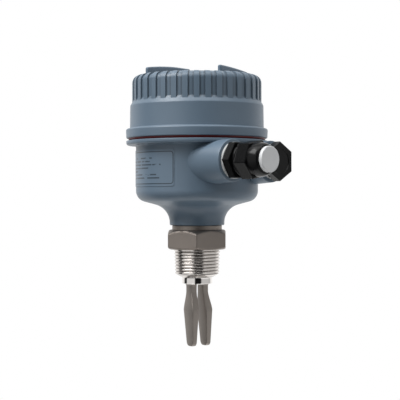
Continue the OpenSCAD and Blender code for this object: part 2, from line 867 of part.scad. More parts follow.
module status_lamps() {
    lamp_h = 3;
    color("#6fbf73") for (i = [0, 1]) translate([switch_x + (i - 0.5) * 6, lamp_y, insert_top]) {
        cylinder(r = lamp_r + 0.4, h = 0.8);
        turned(concat([[0, 0], [lamp_r, 0]], arc(0, lamp_h, lamp_r, 0, 90, 6)));
    }
}

module insert_screws() {
    color("#b9b7b2") at_posts() translate([0, 0, insert_top])
        slotted_screw(screw_head_r, screw_head_h, screw_r, insert_h + screw_grip);
}

module earth_clamp() {
    color("#c9b06a") translate([earth_x, 0, insert_top]) difference() {
        translate([-earth_plate[0] / 2, -earth_plate[1] / 2, 0]) cube(earth_plate);
        translate([0, 0, -through]) cylinder(r = screw_r + close_gap, h = earth_plate[2] + 2 * through);
    }
}

module earth_screw() {
    color("#c9b06a") translate([earth_x, 0, insert_top + earth_plate[2]])
        slotted_screw(earth_head_r, screw_head_h, screw_r, earth_plate[2]);
}

housing_base();
housing_wall();
housing_rim();
entry_bosses();
cover();
cover_seal();
rating_label();
gland_body();
gland_washer();
gland_seal();
gland_nut();
gland_plug();
blanking_plug();
blanking_washer();
process_connection();
fork();
neck_seal();
retaining_nut();
tension_stud();
clamp_nut();
piezo_discs();
electrode_plates();
insulator_rings();
sensor_leads();
sensor_header();
electronics_insert();
circuit_board();
terminal_block();
terminal_screws();
switch_block();
delay_slider();
density_slider();
status_lamps();
insert_screws();
earth_clamp();
earth_screw();
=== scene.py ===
"""Looks of a tuning fork level switch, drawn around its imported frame.

Sizes are millimetres until a mesh is made. Z runs up the axis, X along the cable entries.
"""
import json
import math

import bpy
import numpy as np
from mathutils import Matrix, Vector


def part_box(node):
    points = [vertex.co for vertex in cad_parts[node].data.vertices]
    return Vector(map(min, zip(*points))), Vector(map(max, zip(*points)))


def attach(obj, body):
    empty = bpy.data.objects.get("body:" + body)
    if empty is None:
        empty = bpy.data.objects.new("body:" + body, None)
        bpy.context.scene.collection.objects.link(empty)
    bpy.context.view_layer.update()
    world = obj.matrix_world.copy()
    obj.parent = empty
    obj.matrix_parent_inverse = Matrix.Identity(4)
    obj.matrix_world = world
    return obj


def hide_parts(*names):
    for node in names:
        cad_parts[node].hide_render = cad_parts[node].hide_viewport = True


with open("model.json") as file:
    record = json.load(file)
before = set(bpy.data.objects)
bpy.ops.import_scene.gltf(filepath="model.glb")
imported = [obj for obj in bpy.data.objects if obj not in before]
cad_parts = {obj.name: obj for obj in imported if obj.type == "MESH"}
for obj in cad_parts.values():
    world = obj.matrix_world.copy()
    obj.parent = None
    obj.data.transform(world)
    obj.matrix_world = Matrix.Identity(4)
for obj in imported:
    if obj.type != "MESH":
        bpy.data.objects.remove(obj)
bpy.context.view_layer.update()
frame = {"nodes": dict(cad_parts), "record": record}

MM = 1000.0
CAMERA_TURN = 45.0


def span(node):
    """Lowest and highest corner of a CAD node, in millimetres."""
    low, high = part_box(node)
    return np.array(low) * MM, np.array(high) * MM


# Levels and reaches taken from the frame
neck_z, corner_z = span("housing_base")[0][2], span("housing_base")[1][2]
seam_z, rim_top = span("housing_rim")[0][2], span("housing_rim")[1][2]
cover_z = span("cover")[0][2]
tube_z, spigot_top = span("process_connection")[0][2], span("process_connection")[1][2]
tip_z = span("fork")[0][2]
boss_x = span("entry_bosses")[1][0]
gland_low, gland_high = span("gland_washer")
entry_y = -(gland_low[1] + gland_high[1]) / 2
entry_z = (gland_low[2] + gland_high[2]) / 2
hex_x = gland_high[0]
nut_x, mouth_x = span("gland_nut")[0][0], span("gland_nut")[1][0]
plug_x = span("gland_plug")[1][0]
blank_x = span("blanking_plug")[1][0]
label_low, label_high = span("rating_label")

# Clearance and edges that several pieces share
fit_gap = 0.05
edge = 0.5
bevel = 0.35
thread_fade = 1.5

# Housing
neck_r = 19.65
neck_h = 1.7
neck_fillet = 13.5
shoulder_slope = 15.0
shoulder_r = 8.0
body_r = 43.8
wall = 4.0
cavity_r = body_r - wall
inner_ledge = 6.7
pocket_wall = 4.6
flange_fillet = 1.5
flange_z = seam_z + flange_fillet
flange_h = 3.7
flange_top = flange_z + flange_h
flange_r = 50.7
flange_edge = 1.7
rim_r = 43.5
rim_foot = 0.2
rim_lead = 0.6
rim_pitch = 4.0
rim_cut = 1.0
spigot_r = 13.0

# Seal between the flanges
seal_sink = 0.5
seal_inset = 1.4
seal_depth = 4.0

# Cover
cover_flange_r = 50.9
flange_round = 1.4
skirt_z = cover_z + 6.9
skirt_r = 47.8
skirt_draft = 0.25
skirt_fillet = 0.6
ledge_z = skirt_z + 16.5
ledge_rise = math.tan(math.radians(61.0))
rib_r = 46.4
rib_depth = 1.0
rib_count = 36
rib_turn = -45.0
rib_wall = 0.16
crown_z = skirt_z + 38.1
crown_r = 5.3
bore_r = rim_r + 0.3
bore_top = rim_top + 2.0
bore_cut = 0.8
cover_wall = 3.9
roof_thick = 3.5
roof_round = 4.0

# Wings on the cover, each with its turn, its length and how far it goes on inwards
wings = ((0.0, 35.0, 0.0), (180.0, 33.0, 17.0))
wing_turn = 98.7
wing_offset = 18.0
wing_start = 2.1
wing_high = 7.4
wing_low = 4.6
wing_thick = 3.0
wing_arch = 1.9
wing_round = 1.4
wing_lip = 1.1
wing_sink = 1.0

# Label film
label_half_angle = 42.0
label_turn = -107.8
label_corner = 2.0
label_r = body_r + 0.2
label_reach = math.radians(label_half_angle) * label_r
label_half_height = (label_high[2] - label_low[2]) / 2
label_outer = body_r + 0.3
label_inner = body_r + 0.02

# Cable entries
boss_r = 14.6
boss_taper = 1.1
boss_edge = 0.45
boss_sink = 2.0
entry_r = 10.0
entry_root = boss_x - 14.0
lead_r = 0.6
lead_h = 0.8
gland_af = 24.0
gland_corner = gland_af / math.sqrt(3) + 0.5
gland_tube = 9.9
gland_bore = 7.4

# Process connection
hex_h = 14.0
hex_af = 41.0
hex_turn = -46.2
collar_r = 17.85
collar_edge = 0.4
thread_r = 16.625
thread_z = -19.9
thread_pitch = 2.309
thread_depth = 0.75
thread_taper = 26.0
thread_lead = 1.7
crest_drop = 0.15
tube_r = 10.95
tube_edge = 0.3
socket_r = tube_r - 1.0
socket_h = 2.0
stem_r = 8.3

# Fork, with each measure of a tine at its root, at its widest level and at its tip
fork_turn = 77.0
root_z = tube_z - 6.0
wide_z = tube_z - 18.6
tine_inner = (2.5, 3.0, 4.15)
tine_outer = (7.1, 8.35, 7.45)
tine_half = (3.7, 6.35, 4.15)
tine_aside = (0.0, -1.1, -1.9)
tine_edge = 0.45
flare_h = 1.5
tip_round = 3.0
tip_edge = 0.7


class Skin:
    """Points and faces of one piece, gathered patch by patch."""

    def __init__(self):
        self.points, self.uvs = [], []
        self.quads, self.tris = [np.zeros((0, 4), int)], [np.zeros((0, 3), int)]
        self.quad_finish, self.tri_finish = [np.zeros(0, int)], [np.zeros(0, int)]
        self.count = 0

    def add(self, grid, finish=0, around=True, closed=False, caps=(), uv=None):
        """Adds a grid of points, rows by columns. around joins the last column to the first, closed
        the last row to the first, and caps fill the first or last row with a fan. Outside lies to the
        right of the rows' direction, seen with the columns running to the left."""
        rows, columns = grid.shape[:2]
        index = np.arange(rows * columns).reshape(rows, columns) + self.count
        left = index if around else index[:, :-1]
        right = np.roll(index, -1, 1) if around else index[:, 1:]
        if closed:
            low, high = (left, right), (np.roll(left, -1, 0), np.roll(right, -1, 0))
        else:
            low, high = (left[:-1], right[:-1]), (left[1:], right[1:])
        quads = np.stack([low[0], low[1], high[1], high[0]], -1)
        marks = np.broadcast_to(np.reshape(finish, (-1, 1)), quads.shape[:2])
        self.quads.append(quads.reshape(-1, 4))
        self.quad_finish.append(marks.reshape(-1))
        self.points.append(grid.reshape(-1, 3))
        self.uvs.append(np.zeros((rows * columns, 2)) if uv is None else uv.reshape(-1, 2))
        self.count += rows * columns
        for cap in caps:
            row = 0 if cap == "first" else -1
            ring = index[0][::-1] if cap == "first" else index[-1]
            middle = np.full(columns, self.count)
            self.tris.append(np.stack([middle, ring, np.roll(ring, -1)], -1))
            self.tri_finish.append(np.full(columns, np.reshape(finish, -1)[row]))
            self.points.append(grid[row].mean(0)[None])
            self.uvs.append(np.zeros((1, 2)))
            self.count += 1
        return self

    def piece(self, name, body, nodes, slot, materials, sharp=32.0):
        """Makes the mesh, in metres, hangs it on its body and lets it stand for its CAD nodes."""
        points = np.concatenate(self.points) / MM
        quads, tris = np.concatenate(self.quads), np.concatenate(self.tris)
        corners = np.concatenate([quads.ravel(), tris.ravel()])
        starts = np.concatenate([np.arange(len(quads)) * 4, len(quads) * 4 + np.arange(len(tris)) * 3])
        mesh = bpy.data.meshes.new(name)
        mesh.vertices.add(len(points))
        mesh.vertices.foreach_set("co", points.astype(np.float32).ravel())
        mesh.loops.add(len(corners))
        mesh.loops.foreach_set("vertex_index", corners.astype(np.int32))
        mesh.polygons.add(len(starts))
        mesh.polygons.foreach_set("loop_start", starts.astype(np.int32))
        finish = np.concatenate(self.quad_finish + self.tri_finish)
        mesh.polygons.foreach_set("material_index", finish.astype(np.int32))
        mesh.polygons.foreach_set("use_smooth", np.ones(len(starts), bool))
        mesh.update(calc_edges=True)
        layer = mesh.uv_layers.new(name="UVMap")
        layer.data.foreach_set("uv", np.concatenate(self.uvs)[corners].astype(np.float32).ravel())
        mesh.set_sharp_from_angle(angle=math.radians(sharp))
        for material in materials:
            mesh.materials.append(material)
        obj = bpy.data.objects.new(name, mesh)
        bpy.context.scene.collection.objects.link(obj)
        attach(obj, body)
        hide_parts(*nodes)
        return obj


def arc(cx, cz, r, start, end, n=12):
    """Points on a circle about (cx, cz) from angle start to angle end, in degrees."""
    a = np.radians(np.linspace(start, end, n + 1))
    return np.stack([cx + r * np.cos(a), cz + r * np.sin(a)], 1)


def chain(*parts):
    """One section from points and runs of points."""
    return np.concatenate([np.reshape(np.asarray(p, float), (-1, 2)) for p in parts])


def evenly(a, b, n):
    """n equal steps from point a to point b, both ends included."""
    return np.linspace(a, b, n + 1)


def upright(r, heights):
    """Section points at radius r, one for each height."""
    return np.stack([r + 0 * heights, heights], 1)


def circle(n):
    """n angles round a full turn."""
    return np.linspace(0.0, 2 * math.pi, n, endpoint=False)


def turned(section, angles):
    """Grid of a section of (radius, height) turned about Z: x = r cos a, y = r sin a, z = height."""
    r, h = section[:, :1], section[:, 1:]
    return np.stack([r * np.cos(angles), r * np.sin(angles), h + 0 * angles], -1)


def spun(x, y, z, angle):
    """Points turned about Z by one angle a: x cos a - y sin a, x sin a + y cos a, z."""
    c, s = math.cos(angle), math.sin(angle)
    return np.stack([x * c - y * s, x * s + y * c, z], -1)


def smooth(t):
    """Smooth step from 0 to 1 while t goes from 0 to 1."""
    t = np.clip(t, 0.0, 1.0)
    return t * t * (3 - 2 * t)


def set_radius(grid, r):
    """Moves each point of a turned grid out or in to radius r, at its own angle."""
    old = np.hypot(grid[..., 0], grid[..., 1])
    grid[..., 0] *= r / old
    grid[..., 1] *= r / old
    return grid


def hex_radius(angles, af, turn, sharpness):
    """Radius of a hexagon with one corner at turn: half its width over the high-power mean of the
    cosines to its six flats, so a lower sharpness gives rounder corners."""
    flats = np.radians(turn + 30.0 + 60.0 * np.arange(6))[:, None]
    near = np.clip(np.cos(angles[None, :] - flats), 0.0, 1.0) ** sharpness
    return af / 2 / near.sum(0) ** (1.0 / sharpness)


def soft_least(a, b, power):
    """The lesser of two radii, with a rounded change from one to the other."""
    return (a ** -power + b ** -power) ** (-1.0 / power)


def on_entry(grid, side):
    """Lays a grid built along Z on one cable entry: height becomes x, as turned about Y."""
    return np.stack([grid[..., 2], side * entry_y + grid[..., 1], entry_z - grid[..., 0]], -1)


def helix(heights, pitch, angles):
    """Number of threads passed at a height and an angle on a right-handed thread."""
    return heights / pitch - angles / (2 * math.pi)


def coarse_thread(heights, angles):
    """Height of the cover's moulded thread, 0 to 1: the distance to the thread's middle, steepened and
    smoothed so that crest and root are flat."""
    return smooth(np.abs(helix(heights, rim_pitch, angles) % 1.0 - 0.5) * 6.0 - 1.0)


def fading(heights, low, high):
    """1 along a thread, and smoothly 0 at its two ends."""
    return smooth((heights - low) / thread_fade) * smooth((high - heights) / thread_fade)


def fine_thread(turns):
    """Height of the process thread, 1 on its broad crest and 0 in its root: one less the sixth power of
    a sine. turns counts threads."""
    return 1.0 - np.sin(math.pi * turns) ** 6


class Tree:
    """A node tree and short ways to add nodes to it."""

    def __init__(self, tree):
        self.nodes, self.links = tree.nodes, tree.links

    def node(self, kind, inputs=(), **settings):
        """Adds a node; inputs maps a socket's name or number to a value or to another node's output."""
        made = self.nodes.new(kind)
        for key, value in settings.items():
            setattr(made, key, value)
        for key, value in dict(inputs).items():
            if isinstance(value, bpy.types.NodeSocket):
                self.links.new(value, made.inputs[key])
            else:
                made.inputs[key].default_value = value
        return made

    def math(self, operation, a, b=0.0, c=0.0):
        """One sum on numbers or node outputs."""
        return self.node("ShaderNodeMath", {0: a, 1: b, 2: c}, operation=operation).outputs[0]


class Finish(Tree):
    """A node material: its surface shader and short ways to give it patterns."""

    def __init__(self, name, color, rough, **sockets):
        self.material = bpy.data.materials.new(name)
        self.material.use_nodes = True
        super().__init__(self.material.node_tree)
        self.surface = self.nodes["Principled BSDF"]
        self.surface.inputs["Base Color"].default_value = (*color, 1.0)
        self.surface.inputs["Roughness"].default_value = rough
        for socket, value in sockets.items():
            self.surface.inputs[socket.replace("_", " ")].default_value = value

    def uv(self):
        """The two numbers of the piece's own UV map."""
        layer = self.node("ShaderNodeUVMap", uv_map="UVMap").outputs[0]
        return self.node("ShaderNodeSeparateXYZ", {0: layer}).outputs[:2]

    def noise(self, scale, detail=2.0, stretch=(1.0, 1.0, 1.0)):
        """Cloudy pattern in the piece's own space; scale counts cells per metre."""
        place = self.node("ShaderNodeTexCoord").outputs["Object"]
        where = self.node("ShaderNodeMapping", {"Vector": place, "Scale": stretch}).outputs[0]
        cloud = self.node("ShaderNodeTexNoise", {"Vector": where, "Scale": scale, "Detail": detail})
        return cloud.outputs["Fac"]

    def between(self, pattern, low, high, start=0.3, end=0.7):
        """A number that goes from low to high while the pattern goes from start to end."""
        return self.node(
            "ShaderNodeMapRange",
            {"Value": pattern, "From Min": start, "From Max": end, "To Min": low, "To Max": high},
        ).outputs[0]

    def shades(self, pattern, dark, light, start=0.3, end=0.7):
        """A colour that goes from dark to light while the pattern goes from start to end."""
        ramp = self.node("ShaderNodeValToRGB", {"Fac": pattern})
        for stop, position, color in zip(ramp.color_ramp.elements, (start, end), (dark, light)):
            stop.position, stop.color = position, (*color, 1.0)
        return ramp.outputs["Color"]

    def feed(self, socket, output):
        """Links an output to one of the surface's sockets."""
        self.links.new(output, self.surface.inputs[socket])
        return self

    def bumps(self, pattern, depth):
        """Roughens the surface by a pattern of that depth, in metres."""
        bump = self.node("ShaderNodeBump", {"Height": pattern, "Distance": depth, "Strength": 1.0})
        return self.feed("Normal", bump.outputs["Normal"])

    def grain(self, rough, scale, depth):
        """Gives the surface a fine grain and an uneven sheen."""
        fine = self.noise(scale)
        self.feed("Roughness", self.between(fine, rough - 0.05, rough + 0.05))
        return self.bumps(fine, depth)

    def lathe_rings(self, rough):
        """Gives the surface a sheen that changes in fine rings round Z, and returns their pattern."""
        rings = self.noise(2600.0, 2.0, (0.004, 0.004, 1.0))
        self.feed("Roughness", self.between(rings, rough * 0.85, rough * 1.2))
        return rings


def tint(color, factor):
    """The colour made lighter or darker."""
    return tuple(min(1.0, channel * factor) for channel in color)


def grained(name, color, rough, grain=1400.0, depth=0.00003, contrast=0.05, **sockets):
    """A material with faint patches of colour, an uneven sheen and a fine grain."""
    finish = Finish(name, color, rough, **sockets)
    cloud = finish.noise(30.0, 3.0)
    finish.feed("Base Color", finish.shades(cloud, tint(color, 1 - contrast), tint(color, 1 + contrast)))
    return finish.grain(rough, grain, depth)


def ribbed(name, color, rough):
    """The grained moulding with painted shade: darker where the UV map's u rises to 1 at the foot of a rib.
    """
    finish = Finish(name, color, rough)
    foot, _ = finish.uv()
    cloud = finish.math("MULTIPLY_ADD", finish.noise(30.0, 3.0), 0.3, 0.75)
    # painted shade: the colour darkens by the UV map's u at the foot of each rib
    light = finish.math("SUBTRACT", cloud, foot)
    finish.feed("Base Color", finish.shades(light, tint(color, 0.5), tint(color, 1.05), 0.0, 1.0))
    return finish.grain(rough, 1400.0, 0.00003)


def turned_steel(name, color, rough):
    """Bright metal with fine rings left by the lathe, which run round Z."""
    finish = Finish(name, color, rough, Metallic=1.0)
    rings = finish.lathe_rings(rough)
    cloud = finish.noise(60.0, 3.0)
    finish.feed("Base Color", finish.shades(cloud, tint(color, 0.93), tint(color, 1.04)))
    return finish.bumps(rings, 0.0000006)


def rolled_thread(name, color, rough):
    """Bright metal with painted shade: dark in the thread's roots, where the UV map's u falls to 0."""
    finish = Finish(name, color, rough, Metallic=1.0)
    finish.lathe_rings(rough)
    height, _ = finish.uv()
    # painted shade: the colour darkens with the thread's height towards the roots
    return finish.feed("Base Color", finish.shades(height, tint(color, 0.45), color, 0.05, 0.75))


def film_print(name, color, rough):
    """A film with a plain frame and broken bars in rows; the UV map gives millimetres from its middle.
    The frame's line is where the distance to a rectangle with round corners is small."""
    finish = Finish(name, color, rough)
    across, up = finish.uv()
    corner, inset_x, inset_y, half_line = 2.0, 0.7, 1.7, 0.3
    far_x = finish.math("SUBTRACT", finish.math("ABSOLUTE", across), label_reach - inset_x - corner)
    far_y = finish.math("SUBTRACT", finish.math("ABSOLUTE", up), label_half_height - inset_y - corner)
    farther = finish.math("MAXIMUM", far_x, far_y)
    square_x = finish.math("POWER", finish.math("MAXIMUM", far_x, 0.0), 2.0)
    square_y = finish.math("POWER", finish.math("MAXIMUM", far_y, 0.0), 2.0)
    outside = finish.math("SQRT", finish.math("ADD", square_x, square_y))
    past = finish.math("ADD", outside, finish.math("MINIMUM", farther, 0.0))
    distance = finish.math("ABSOLUTE", finish.math("SUBTRACT", past, corner))
    frame_line = finish.math("LESS_THAN", distance, half_line)

    row_pitch, half_bar, margin = 2.3, 0.2, 0.6
    shortest, longest = -6.0, 24.0
    row = finish.math("DIVIDE", finish.math("ADD", up, label_half_height), row_pitch)
    on_row = finish.math("LESS_THAN", finish.math("PINGPONG", finish.math("ADD", row, 0.5), 0.5), half_bar)
    ragged = finish.node("ShaderNodeTexWhiteNoise", {"W": finish.math("FLOOR", row)}, noise_dimensions="1D")
    row_end = finish.between(ragged.outputs["Value"], shortest, longest, 0.0, 1.0)
    in_row = finish.math("LESS_THAN", across, row_end)
    broken = finish.math("LESS_THAN", finish.noise(330.0, 0.0), 0.6)
    within = finish.math("LESS_THAN", farther, -margin)
    bars = finish.math("MULTIPLY", finish.math("MULTIPLY", on_row, in_row), broken)
    printed = finish.math("MULTIPLY", bars, within)
    marks = finish.math("MAXIMUM", frame_line, finish.math("MULTIPLY", printed, 0.9))
    finish.feed("Base Color", finish.shades(marks, color, tint(color, 0.22), 0.0, 1.0))
    fine = finish.noise(1200.0)
    finish.feed("Roughness", finish.between(fine, rough - 0.04, rough + 0.06))
    return finish.bumps(fine, 0.00001)


# Finishes, one for each material slot of the record, and three more for parts of a piece
housing_color = (0.107, 0.154, 0.205)
black = (0.004, 0.0042, 0.0046)
blasted = dict(grain=2600.0, depth=0.00004, Metallic=1.0)
plain_metal = dict(grain=2000.0, depth=0.00001, Metallic=1.0)
finishes = {
    "housing_plastic": grained("satin moulding", housing_color, 0.4, contrast=0.04),
    "seal_rubber": grained("red seal rubber", (0.16, 0.011, 0.011), 0.5, contrast=0.15),
    "label_film": film_print("label film", tint(housing_color, 1.06), 0.36),
    "gland_plastic": grained("black moulding", black, 0.2, depth=0.00001, contrast=0.12,
                             Specular_IOR_Level=0.18),
    "washer_plastic": grained("pale washer", (0.4, 0.41, 0.41), 0.5),
    "plug_plastic": grained("pale plug", (0.62, 0.63, 0.64), 0.42),
    "gland_rubber": grained("black rubber", (0.02, 0.02, 0.02), 0.6, contrast=0.2),
    "connection_steel": grained("blasted steel", (0.27, 0.239, 0.215), 0.52, **blasted),
    "fork_steel": grained("blasted fork steel", (0.3, 0.27, 0.245), 0.42, **blasted),
    "inner_steel": grained("plain steel", (0.56, 0.55, 0.53), 0.3, **plain_metal),
    "ceramic": grained("ceramic", (0.66, 0.62, 0.53), 0.5),
    "brass": grained("brass", (0.62, 0.43, 0.16), 0.3, **plain_metal),
    "lead_insulation": grained("lead insulation", (0.4, 0.05, 0.03), 0.45),
    "insert_plastic": grained("insert moulding", (0.035, 0.048, 0.062), 0.5),
    "board_laminate": grained("solder mask", (0.02, 0.12, 0.05), 0.3),
    "terminal_plastic": grained("terminal moulding", (0.62, 0.62, 0.57), 0.5),
    "switch_plastic": grained("switch moulding", (0.016, 0.017, 0.019), 0.45),
    "slider_plastic": grained("slider moulding", (0.72, 0.72, 0.68), 0.45),
    "lamp_lens": grained("lamp lens", (0.06, 0.4, 0.1), 0.15, Transmission_Weight=0.5),
}
looks = {slot: finish.material for slot, finish in finishes.items()}
polished = turned_steel("turned bright steel", (0.9, 0.87, 0.84), 0.07).material
# the rolled thread steel paints shade into the thread's roots
thread_steel_painted_shade = rolled_thread("rolled thread steel", (0.74, 0.7, 0.665), 0.17).material
# the ribbed moulding paints shade at the feet of the cover's ribs
ribbed_moulding_painted_shade = ribbed("ribbed moulding with painted shade", housing_color, 0.4).material

for part in frame["record"]["subparts"]:
    shown = frame["nodes"][part["node"]].data
    shown.materials.clear()
    shown.materials.append(looks[part["material_slot"]])


def cut_bores(obj):
    """Cuts the two cable entries through a piece with plain cylinders."""
    bore = chain([entry_r + 0.2, cavity_r / 2], [entry_r + 0.2, body_r - 1.0])
    for side in (-1, 1):
        cutter = Skin().add(on_entry(turned(bore, circle(96)), side), caps=("first", "last"))
        points = np.concatenate(cutter.points) / MM
        faces = np.concatenate(cutter.quads).tolist() + np.concatenate(cutter.tris).tolist()
        mesh = bpy.data.meshes.new("bore")
        mesh.from_pydata(points.tolist(), [], faces)
        tool = bpy.data.objects.new("bore", mesh)
        bpy.context.scene.collection.objects.link(tool)
        cut = obj.modifiers.new("bore", "BOOLEAN")
        cut.operation, cut.object, cut.solver = "DIFFERENCE", tool, "EXACT"
        bpy.context.view_layer.update()
        done = bpy.data.meshes.new_from_object(obj.evaluated_get(bpy.context.evaluated_depsgraph_get()))
        obj.modifiers.remove(cut)
        old, obj.data = obj.data, done
        bpy.data.meshes.remove(old)
        bpy.data.objects.remove(tool)
        bpy.data.meshes.remove(mesh)


def housing():
    """Closed section turned about Z: neck, hollow fillet, shoulder, wall, flange and rim outside, and the
    same at the wall's thickness inside. The rim's radius falls by a coarse thread along a helix."""
    fillet_x, fillet_z = neck_r + neck_fillet, neck_z + neck_h
    corner_x = body_r - shoulder_r
    ledge = neck_z + inner_ledge
    pocket = spigot_r + pocket_wall
    inner_fillet = neck_fillet + wall
    pocket_angle = math.degrees(math.acos((pocket - fillet_x) / inner_fillet))
    seat = flange_top - seal_sink
    outside = chain(
        [spigot_r + fit_gap, neck_z], [neck_r - edge, neck_z], [neck_r, neck_z + edge],
        arc(fillet_x, fillet_z, neck_fillet, 180, 90 + shoulder_slope, 28),
        arc(corner_x, corner_z, shoulder_r, shoulder_slope - 90, 0, 20),
        arc(body_r + flange_fillet, seam_z, flange_fillet, 180, 90, 8),
        arc(flange_r - flange_edge, flange_z + flange_edge, flange_edge, -90, 0, 8),
        arc(flange_r - edge, seat - edge, edge, 0, 90, 5),
        [rim_r + rim_foot, seat], [rim_r, flange_top],
    )
    rim = evenly([rim_r, flange_top + rim_lead], [rim_r, rim_top - edge], 60)
    inside = chain(
        [rim_r - edge, rim_top], [cavity_r + edge, rim_top], [cavity_r, rim_top - edge],
        arc(corner_x, corner_z, shoulder_r - wall, 0, shoulder_slope - 90, 10),
        arc(fillet_x, fillet_z, inner_fillet, 90 + shoulder_slope, pocket_angle, 16),
        [pocket, ledge], [spigot_r + fit_gap, ledge],
    )
    angles = circle(192)
    grid = turned(chain(outside, rim, inside), angles)
    rows = slice(len(outside), len(outside) + len(rim))
    heights = rim[:, 1:]
    ends = fading(heights, flange_top + 1.0, rim_top - edge)
    grid[rows] = set_radius(grid[rows], rim_r - rim_cut * (1.0 - coarse_thread(heights, angles)) * ends)
    skin = Skin().add(grid, closed=True)
    obj = skin.piece("housing_shell", "housing", ("housing_base", "housing_wall", "housing_rim"),
                     "housing_plastic", [looks["housing_plastic"]])
    cut_bores(obj)


def bosses():
    """Each boss is a tapered tube on the round wall. At angle a round the boss its cone starts on the wall,
    at x = sqrt(R^2 - y^2), and narrows evenly to a small round edge at its face. Along the top, under the
    flange, the taper fades out."""
    taper_top, taper_soft = 0.75, 0.3
    a = circle(160)
    root_r = boss_r + boss_taper * smooth((taper_top - np.sin(a)) / taper_soft)
    inner_r = entry_r + 0 * a
    face = boss_x - boss_edge
    t = np.linspace(0, 1, 9)[:, None]
    curl = np.radians(np.linspace(0, 90, 5))[1:, None]
    r = np.concatenate([
        [inner_r + fit_gap, root_r], root_r + (boss_r - root_r) * t,
        boss_r - boss_edge * (1 - np.cos(curl)) + 0 * a, [inner_r + boss_edge, inner_r + fit_gap],
    ])

    def on_wall(y, depth=0.0):
        """How far out the round wall is at y, or a depth inside it."""
        return np.sqrt((body_r - depth) ** 2 - y ** 2)

    skin = Skin()
    for side in (-1, 1):
        middle = side * entry_y
        root_y = middle + root_r * np.cos(a)
        sunk = [on_wall(middle + inner_r * np.cos(a), boss_sink), on_wall(root_y, boss_sink)]
        cone = on_wall(root_y) * (1 - t) + face * t
        rounded = face + boss_edge * np.sin(curl) + 0 * a
        x = np.concatenate([sunk, cone, rounded, [boss_x + 0 * a, face + 0 * a]])
        grid = np.stack([x, middle + r * np.cos(a), entry_z + r * np.sin(a)], -1)
        skin.add(grid[:, ::-1], closed=True)
    skin.piece("cable_bosses", "housing", ("entry_bosses",), "housing_plastic", [looks["housing_plastic"]])


def cover():
    """A groove section and a rib section turned about Z. Each column lies between the two by a window that is
    1 on a rib and 0 in a groove, and the UV map's u rises to 1 at the foot of a rib, where the material
    paints shade. The inside is plain, with a coarse thread in its bore."""
    under = cover_z + fit_gap
    foot_r = cover_flange_r - skirt_draft
    lower = chain(
        [bore_r, under], [foot_r - edge, under], [foot_r, under + edge],
        arc(cover_flange_r - flange_round, skirt_z - flange_round, flange_round, 0, 90, 10),
        arc(skirt_r + skirt_draft + skirt_fillet, skirt_z + skirt_fillet, skirt_fillet, 270, 180, 5),
        arc(skirt_r - edge, ledge_z - 0.3, edge, 0, 25, 4),
    )
    groove_r = rib_r - rib_depth
    slope_top = ledge_z + (skirt_r - groove_r) * ledge_rise
    crown_x, crown_low = rib_r - crown_r, crown_z - crown_r
    groove_end = crown_x - 2.0
    slope_z = np.linspace(ledge_z + 0.2, slope_top, 12)
    slope_r = skirt_r - (slope_z - ledge_z) / ledge_rise
    straight_z = np.linspace(slope_top, crown_low, 5)[1:]
    run = np.linspace(0, 1, 7)[1:, None]
    groove_arc = arc(crown_x, crown_low, crown_r - rib_depth, 5, 60, 11)
    groove = chain(
        upright(slope_r, slope_z), upright(groove_r, straight_z), groove_arc,
        groove_arc[-1] + run * (np.array([groove_end, crown_z]) - groove_arc[-1]),
    )
    rib = chain(
        upright(np.maximum(slope_r, rib_r), slope_z), upright(rib_r, straight_z),
        arc(crown_x, crown_low, crown_r, 7.5, 90, 11),
        np.array([crown_x, crown_z]) + run * np.array([groove_end - crown_x, 0.0]),
    )

    # Columns: angles from a rib's middle, close together where its two walls stand
    half_rib = 90.0 / rib_count
    wall_places = half_rib + rib_wall * np.array([-2.2, -1.0, -0.5, 0.0, 0.5, 1.0, 2.2])
    places = np.concatenate([-wall_places[::-1], [-1.0, 0.0, 1.0], wall_places, [4.0, 5.0]])
    share = smooth((half_rib + rib_wall - np.abs(places)) / (2 * rib_wall))
    # painted shade: foot is 1 at the foot of each rib wall and fades out into the groove, and the material
    # darkens there
    rib_shade_fade = 0.8
    foot = (1 - share) * np.exp(-np.clip(np.abs(places) - half_rib - rib_wall, 0.0, None) / rib_shade_fade)
    middles = rib_turn + 360.0 / rib_count * np.arange(rib_count)[:, None]
    angles = np.radians(middles + places).ravel()
    window = np.tile(share, rib_count)[None, :, None]

    roof_r = np.array([groove_end - 1.0, 26.0, 13.0, 1.0])
    low_grid = turned(lower, angles)
    high_grid = turned(groove, angles) * (1 - window) + turned(rib, angles) * window
    roof = turned(upright(roof_r, np.full(len(roof_r), crown_z)), angles)
    outside = np.concatenate([low_grid, high_grid, roof])
    first_groove, last_groove = len(lower) + 8, -len(roof) - 3
    # painted shade: the shade mask at the rib feet goes into the UV map's u
    rib_shade_uv = np.zeros(outside.shape[:2] + (2,))
    rib_shade_uv[first_groove:last_groove, :, 0] = np.tile(foot, rib_count)

    inner_r, ceiling = groove_r - cover_wall, crown_z - roof_thick
    inside = turned(chain(
        [1.0, ceiling], [inner_r - roof_round, ceiling],
        arc(inner_r - roof_round, ceiling - roof_round, roof_round, 90, 0, 8)[1:],
        [inner_r, bore_top], [bore_r, bore_top],
    ), angles)
    bore = evenly([bore_r, bore_top], [bore_r, under], 60)[1:-1]
    heights = bore[:, 1:]
    ends = fading(heights, cover_z + 3.0, rim_top + 1.0)
    bore = set_radius(turned(bore, angles), bore_r + bore_cut * coarse_thread(heights, angles) * ends)
    skin = Skin().add(outside, caps=("last",), uv=rib_shade_uv)
    skin.add(inside, caps=("first",))
    skin.add(np.concatenate([inside[-1:], bore, low_grid[:1]]))
    for half_turn, length, inwards in wings:
        wing(skin, half_turn, length, inwards)
    skin.piece("ribbed_cover", "cover", ("cover",), "housing_plastic", [ribbed_moulding_painted_shade], sharp=20.0)


